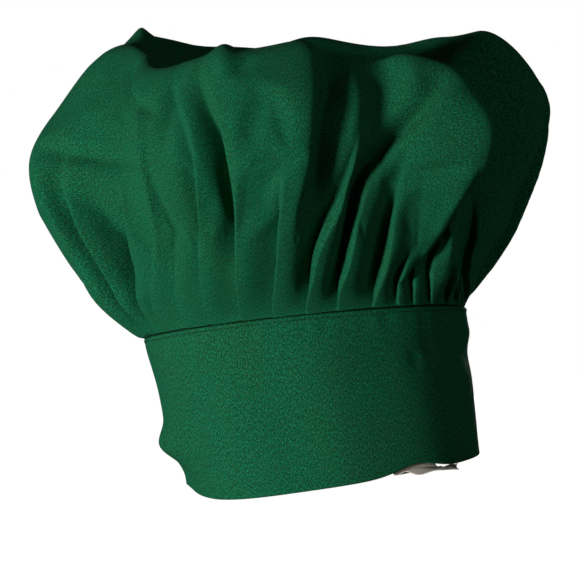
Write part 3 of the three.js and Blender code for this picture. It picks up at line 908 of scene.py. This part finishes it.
class Wiring:
    """Short forms for adding and joining shader nodes."""

    def __init__(self, tree):
        self.tree = tree

    def node(self, kind, **settings):
        made = self.tree.nodes.new(kind)
        for key, value in settings.items():
            setattr(made, key, value)
        return made

    def join(self, source, target):
        self.tree.links.new(source, target)

    def coords(self, scale, turn=0.0):
        """The cloth's flat coordinates, turned and scaled."""
        uv = self.node("ShaderNodeUVMap", uv_map="cloth")
        place = self.node("ShaderNodeMapping")
        place.inputs["Rotation"].default_value = (0, 0, math.radians(turn))
        place.inputs["Scale"].default_value = scale
        self.join(uv.outputs["UV"], place.inputs["Vector"])
        return place.outputs["Vector"]

    def noise(self, vector, scale, detail=2.0, rough=0.5):
        made = self.node("ShaderNodeTexNoise")
        made.inputs["Scale"].default_value = scale
        made.inputs["Detail"].default_value = detail
        made.inputs["Roughness"].default_value = rough
        self.join(vector, made.inputs["Vector"])
        return made.outputs["Fac"]

    def ramp(self, value, *stops):
        made = self.node("ShaderNodeValToRGB")
        elements = made.color_ramp.elements
        while len(elements) < len(stops):
            elements.new(0.5)
        for element, (place, colour) in zip(elements, stops):
            element.position = place
            element.color = (*colour, 1) if len(colour) == 3 else colour
        self.join(value, made.inputs["Fac"])
        return made.outputs["Color"]

    def mix(self, factor, a, b, kind="MIX"):
        made = self.node("ShaderNodeMix", data_type="RGBA", blend_type=kind)
        for value, socket in ((factor, "Factor"), (a, 6), (b, 7)):
            target = made.inputs[socket]
            if isinstance(value, bpy.types.NodeSocket):
                self.join(value, target)
            else:
                target.default_value = value if socket == "Factor" else (*value, 1)
        return made.outputs[2]

    def bump(self, height, strength, distance, shader, before=None):
        made = self.node("ShaderNodeBump")
        made.inputs["Strength"].default_value = strength
        made.inputs["Distance"].default_value = distance
        self.join(height, made.inputs["Height"])
        if before:
            self.join(before, made.inputs["Normal"])
        self.join(made.outputs["Normal"], shader.inputs["Normal"])
        return made.outputs["Normal"]


GREEN = (0.0040, 0.115, 0.048)
GREEN_DARK = (0.0016, 0.040, 0.015)
GREEN_LIGHT = (0.012, 0.245, 0.122)
GREEN_WORN = (0.011, 0.098, 0.033)
OLIVE = (0.060, 0.105, 0.030)
# Painted shade for the crevice where the crown's cloth meets the band: its reach past the seam in mm, its
# dark green and how strongly it is mixed in
SEAM_SHADE_REACH = (0.5, 1.2)
SEAM_SHADE_GREEN = (0.0006, 0.010, 0.004)
SEAM_SHADE_STRENGTH = 0.93
GRAIN_TURN = 45


def twill(name, seam_radius=None):
    """Green cotton and polyester twill: diagonal ribs, streaks of uneven dye and faded specks.

    Round cloth gets painted shade in the crease at its seam, at this distance in millimetres from its middle:
    a darker green that stands in for the shadow of the crevice above the band's edge.
    """
    mat, tree, shader = material(name, GREEN, 0.9, sheen=0.02, sheen_tint=(0.4, 0.8, 0.6), specular=0.06)
    w = Wiring(tree)
    cloud = w.noise(w.coords((1, 1, 1)), 30, 4, 0.6)
    base = w.ramp(cloud, (0.25, mix(np.array(GREEN), np.array(GREEN_DARK), 0.25)), (0.55, GREEN))
    worn = w.noise(w.coords((24, 12, 1)), 1, 3, 0.55)
    base = w.mix(w.ramp(worn, (0.42, (0, 0, 0)), (0.7, (0.8, 0.8, 0.8))), base, GREEN_WORN)
    streak = w.noise(w.coords((1350, 640, 1), GRAIN_TURN), 1, 3, 0.65)
    light = w.mix(w.ramp(streak, (0.48, (0, 0, 0)), (0.62, (1, 1, 1))), base, GREEN_LIGHT)
    slub = w.noise(w.coords((1100, 700, 1), GRAIN_TURN), 1.1, 3, 0.7)
    flecked = w.mix(w.ramp(slub, (0.55, (0, 0, 0)), (0.66, (0.85, 0.85, 0.85))), light, OLIVE)
    deep = w.noise(w.coords((1150, 640, 1), GRAIN_TURN), 1.3, 2, 0.6)
    final = w.mix(w.ramp(deep, (0.36, (1, 1, 1)), (0.5, (0, 0, 0))), flecked, GREEN_DARK)
    # painted shade: the crown's cloth is darkened in a thin ring just above the band's edge, where the
    # crevice would be in shadow
    if seam_radius:
        from_middle = w.node("ShaderNodeVectorMath", operation="LENGTH")
        w.join(w.coords((1, 1, 1)), from_middle.inputs[0])
        edge = [(seam_radius + reach) * MM for reach in SEAM_SHADE_REACH]
        seam_shade = w.node("ShaderNodeMapRange", interpolation_type="SMOOTHSTEP")
        seam_shade.inputs["From Min"].default_value, seam_shade.inputs["From Max"].default_value = edge
        seam_shade.inputs["To Max"].default_value = SEAM_SHADE_STRENGTH
        w.join(from_middle.outputs["Value"], seam_shade.inputs["Value"])
        final = w.mix(seam_shade.outputs["Result"], final, SEAM_SHADE_GREEN)
    w.join(final, shader.inputs["Base Color"])
    ribs = w.node("ShaderNodeTexWave", wave_type="BANDS", bands_direction="X", wave_profile="SIN")
    ribs.inputs["Scale"].default_value = 1.0
    ribs.inputs["Distortion"].default_value = 0.6
    ribs.inputs["Detail"].default_value = 1.0
    w.join(w.coords((560, 560, 1), GRAIN_TURN), ribs.inputs["Vector"])
    fuzz = w.noise(w.coords((1, 1, 1)), 1300, 2, 0.7)
    first = w.bump(ribs.outputs["Fac"], 0.35, 0.0004, shader)
    second = w.bump(fuzz, 0.4, 0.0004, shader, first)
    w.bump(streak, 0.35, 0.0004, shader, second)
    return mat


def plain_cloth(name, colour, dark, scale=900, roughness=0.85, sheen=0.05, specular=0.2):
    """A fine even material: two shades in small noise and its bump, in the object's own space."""
    mat, tree, shader = material(name, colour, roughness, sheen, (1, 1, 1), specular)
    w = Wiring(tree)
    place = w.node("ShaderNodeTexCoord").outputs["Object"]
    shade = w.noise(place, scale, 3, 0.6)
    w.join(w.ramp(shade, (0.35, dark), (0.65, colour)), shader.inputs["Base Color"])
    w.bump(shade, 0.6, 0.0004, shader)
    return mat


def label_satin():
    mat, tree, shader = material("label_satin", (0.74, 0.65, 0.55), 0.6, 0.1, (1, 1, 1), 0.25)
    w = Wiring(tree)
    threads = w.noise(w.coords((400, 2600, 1)), 1, 2, 0.5)
    tone = w.ramp(threads, (0.3, (0.64, 0.55, 0.45)), (0.7, (0.82, 0.74, 0.64)))
    w.join(tone, shader.inputs["Base Color"])
    w.bump(threads, 0.3, 0.0002, shader)
    return mat


# ---------------------------------------------------------------- camera, light and stage

CAMERA_DISTANCE = 0.72
CAMERA_HEIGHT = 0.055
CAMERA_LENS = 67.7
CAMERA_PITCH = 5.55
CAMERA_YAW = 0.53
CAMERA_ROLL = 9.0
FLOOR_GLOW = 1.0
KEY_POWER, FILL_POWER, BACK_POWER = 20, 1.5, 14
WORLD_SEEN, WORLD_FELT = 1.0, 0.024


def make_camera():
    data = bpy.data.cameras.new("camera")
    data.lens = CAMERA_LENS
    data.clip_start = 0.01
    camera = bpy.data.objects.new("camera", data)
    bpy.context.scene.collection.objects.link(camera)
    camera.location = (0, -CAMERA_DISTANCE, CAMERA_HEIGHT)
    upright = Matrix.Rotation(math.radians(90 + CAMERA_PITCH), 4, "X")
    turned = Matrix.Rotation(math.radians(CAMERA_YAW), 4, "Z") @ upright
    camera.rotation_euler = (turned @ Matrix.Rotation(-math.radians(CAMERA_ROLL), 4, "Z")).to_euler()
    bpy.context.scene.camera = camera


def area_light(name, place, aim, size, power, colour=(1, 1, 1)):
    data = bpy.data.lights.new(name, "AREA")
    data.shape = "RECTANGLE"
    data.size, data.size_y = size
    data.energy = power
    data.color = colour
    light = bpy.data.objects.new(name, data)
    light.location = place
    light.rotation_euler = (Vector(aim) - Vector(place)).to_track_quat("-Z", "Y").to_euler()
    bpy.context.scene.collection.objects.link(light)


def make_world(seen, felt):
    """A plain white surround, brighter to the eye than as a light."""
    world = bpy.data.worlds.new("surround")
    bpy.context.scene.world = world
    world.use_nodes = True
    w = Wiring(world.node_tree)
    background = world.node_tree.nodes["Background"]
    path = w.node("ShaderNodeLightPath")
    strength = w.node("ShaderNodeMapRange")
    strength.inputs["To Min"].default_value = felt
    strength.inputs["To Max"].default_value = seen
    w.join(path.outputs["Is Camera Ray"], strength.inputs["Value"])
    w.join(strength.outputs["Result"], background.inputs["Strength"])
    background.inputs["Color"].default_value = (1, 1, 1, 1)


def make_floor():
    """A plain floor that glows white to the camera, so that it runs into the surround."""
    bpy.ops.mesh.primitive_plane_add(size=60, location=(0, 0, -0.0005))
    floor = bpy.context.object
    floor.name = "floor"
    mat, tree, shader = material("floor_white", (0.25, 0.25, 0.25), 0.9, specular=0.0)
    shader.inputs["Emission Color"].default_value = (1, 1, 1, 1)
    w = Wiring(tree)
    glow = w.node("ShaderNodeMapRange")
    glow.inputs["To Min"].default_value = 0.0
    glow.inputs["To Max"].default_value = FLOOR_GLOW
    w.join(w.node("ShaderNodeLightPath").outputs["Is Camera Ray"], glow.inputs["Value"])
    w.join(glow.outputs["Result"], shader.inputs["Emission Strength"])
    floor.data.materials.append(mat)


def light_scene():
    """A soft key at the left and level with the hat, a weak fill at the right, and a light for the back."""
    middle = (0, 0, 0.17)
    area_light("key", (-1.10, -1.03, 0.05), middle, (0.3, 0.08), KEY_POWER)
    area_light("fill", (1.1, -1.0, 0.25), middle, (0.5, 0.5), FILL_POWER)
    area_light("back", (0.4, 1.5, 0.35), middle, (0.6, 0.6), BACK_POWER)
    make_world(WORLD_SEEN, WORLD_FELT)
    make_floor()
    bpy.context.scene.view_settings.view_transform = "Standard"


# ---------------------------------------------------------------- the whole hat

TAB_END = HINGE_ANGLE + TAB_ANGLE
BAND_BEGIN = HINGE_ANGLE - 360


def finish_piece(obj, mat, body, replaced):
    obj.data.materials.clear()
    obj.data.materials.append(mat)
    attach(obj, body)
    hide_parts(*replaced)
    return obj


def finish_bending(obj, mat, replaced):
    """Gives a piece of the tab its material, bakes its place into its mesh and hides the CAD parts that it
    replaces; the fold line's middle and direction are worked out but not used.
    """
    obj.data.materials.clear()
    obj.data.materials.append(mat)
    middle = band_point(HINGE_ANGLE, BAND_HALF, BAND_HEIGHT / 2)
    ahead = band_point(HINGE_ANGLE + 2, BAND_HALF, BAND_HEIGHT / 2, lap=LAP) - middle
    ahead /= np.linalg.norm(ahead)
    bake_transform(obj)
    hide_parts(*replaced)
    return obj


make_camera()
light_scene()
TWILL = twill("band_twill")
# the crown's twill carries the painted shade at its seam
ROUND_TWILL = twill("crown_twill", ROUND / 2 - CROWN_TUCK)
THREAD = plain_cloth("green_thread", (0.004, 0.040, 0.018), (0.002, 0.022, 0.010), 2500, 0.7, 0.0, 0.15)
PALE_THREAD = plain_cloth("pale_thread", (0.55, 0.50, 0.44), (0.40, 0.36, 0.31), 2500, 0.6, specular=0.4)
STIFFENER = plain_cloth("interlining_felt", (0.62, 0.60, 0.55), (0.48, 0.46, 0.42), 1200)
LOOPS = plain_cloth("loop_pile", (0.008, 0.070, 0.036), (0.002, 0.020, 0.010), 1100, 0.9, 0.3)
HOOKS = plain_cloth("hook_plastic", (0.010, 0.060, 0.032), (0.003, 0.022, 0.012), 700, 0.45, 0.0, 0.5)
SATIN = label_satin()

crown = make_crown()
finish_piece(crown, ROUND_TWILL, "hat", ["crown"])

band = finish_piece(strip("band_strip", BAND_BEGIN, TAB_PIECE_FROM), TWILL, "hat", ["band_cloth"])
tab = finish_bending(strip("tab_strip", TAB_PIECE_FROM, TAB_END), TWILL, ["closure_tab_cloth"])
stiff = interlining_strip("band_stiffener", BAND_BEGIN + 1, TAB_PIECE_FROM)
finish_piece(stiff, STIFFENER, "hat", ["band_interlining"])
tab_stiff = interlining_strip("tab_stiffener", TAB_PIECE_FROM, TAB_END - 1)
finish_bending(tab_stiff, STIFFENER, ["closure_tab_interlining"])

on_face = PLY_OUT + PLY_THICKNESS / 2
seam_angles = np.arange(BAND_BEGIN + 3, TAB_PIECE_FROM - 0.5, 0.5)
seam = np.stack([seam_angles, band_top(seam_angles) - TOPSTITCH_INSET], -1)
topstitching = band_stitches("band_topstitches", seam, on_face - 0.1, rise=0.02)
finish_piece(topstitching, THREAD, "hat", ["band_topstitching"])
end_seam = band_stitches("band_end_stitches", [(BAND_BEGIN + 1.8, 8), (BAND_BEGIN + 1.8, 84)], on_face)
finish_piece(end_seam, THREAD, "hat", ["band_end_stitching"])
gathering_angles = np.arange(BAND_BEGIN + 1, TAB_PIECE_FROM, 2)
gathering = hidden_thread("gathering_stitches", gathering_angles, CROWN_TUCK + 0.7, 0)
finish_piece(gathering, THREAD, "hat", ["crown_gathering_thread"])

tab_near, tab_far = HINGE_ANGLE + 2.2, TAB_END - 1.8
tab_top = band_top(np.array(HINGE_ANGLE + TAB_ANGLE / 2)) - 4
tab_corners = [(tab_near, 5), (tab_far, 5), (tab_far, tab_top), (tab_near, tab_top)]
tab_seam = band_stitches("tab_stitches", tab_corners, on_face)
finish_piece(tab_seam, THREAD, "closure_tab", ["closure_tab_stitching"])

finish_piece(vent_seam(crown), THREAD, "hat", ["vent_hem_stitching"])
finish_piece(bartack(crown), THREAD, "hat", ["vent_bartack"])

hook_angles = (HINGE_ANGLE + TAPE_INSET_ANGLE, TAB_END - TAPE_INSET_ANGLE)
loop_angles = tuple(angle - 360 for angle in hook_angles)
loops = loop_tape("loop_strip", loop_angles, on_face + 0.6)
finish_piece(loops, LOOPS, "hat", ["loop_tape"])
loop_row = band_stitches("loop_tape_stitches", tape_corners(loop_angles), on_face)
finish_piece(loop_row, THREAD, "hat", ["loop_tape_stitching"])
hooks = hook_tape("hook_strip", hook_angles, -on_face - 0.3)
finish_piece(hooks, HOOKS, "closure_tab", ["hook_tape"])
hook_row = band_stitches("hook_tape_stitches", tape_corners(hook_angles), -on_face)
finish_piece(hook_row, THREAD, "closure_tab", ["hook_tape_stitching"])

care = ribbon("care_ribbon", CARE_LABEL_HALF_ANGLE, CARE_LABEL_STOPS, 70, 34)
finish_piece(care, SATIN, "hat", ["care_label"])
size_tag = ribbon("size_ribbon", SIZE_LABEL_HALF_ANGLE, SIZE_LABEL_STOPS, 16, 14)
finish_piece(size_tag, SATIN, "hat", ["size_label"])
label_ends = (LABEL_ANGLE - CARE_LABEL_HALF_ANGLE + 0.5, LABEL_ANGLE + CARE_LABEL_HALF_ANGLE - 0.5)
label_seam = [(angle, LABEL_SEAM_HEIGHT - 2) for angle in label_ends]
label_row = band_stitches("label_stitches", label_seam, LABEL_OUT - 0.7)
finish_piece(label_row, PALE_THREAD, "hat", ["label_stitching"])

# every plain CAD mesh is replaced by a piece above, and none is left without a material
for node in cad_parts.values():
    node.data.materials.clear()
    node.data.materials.append(THREAD)
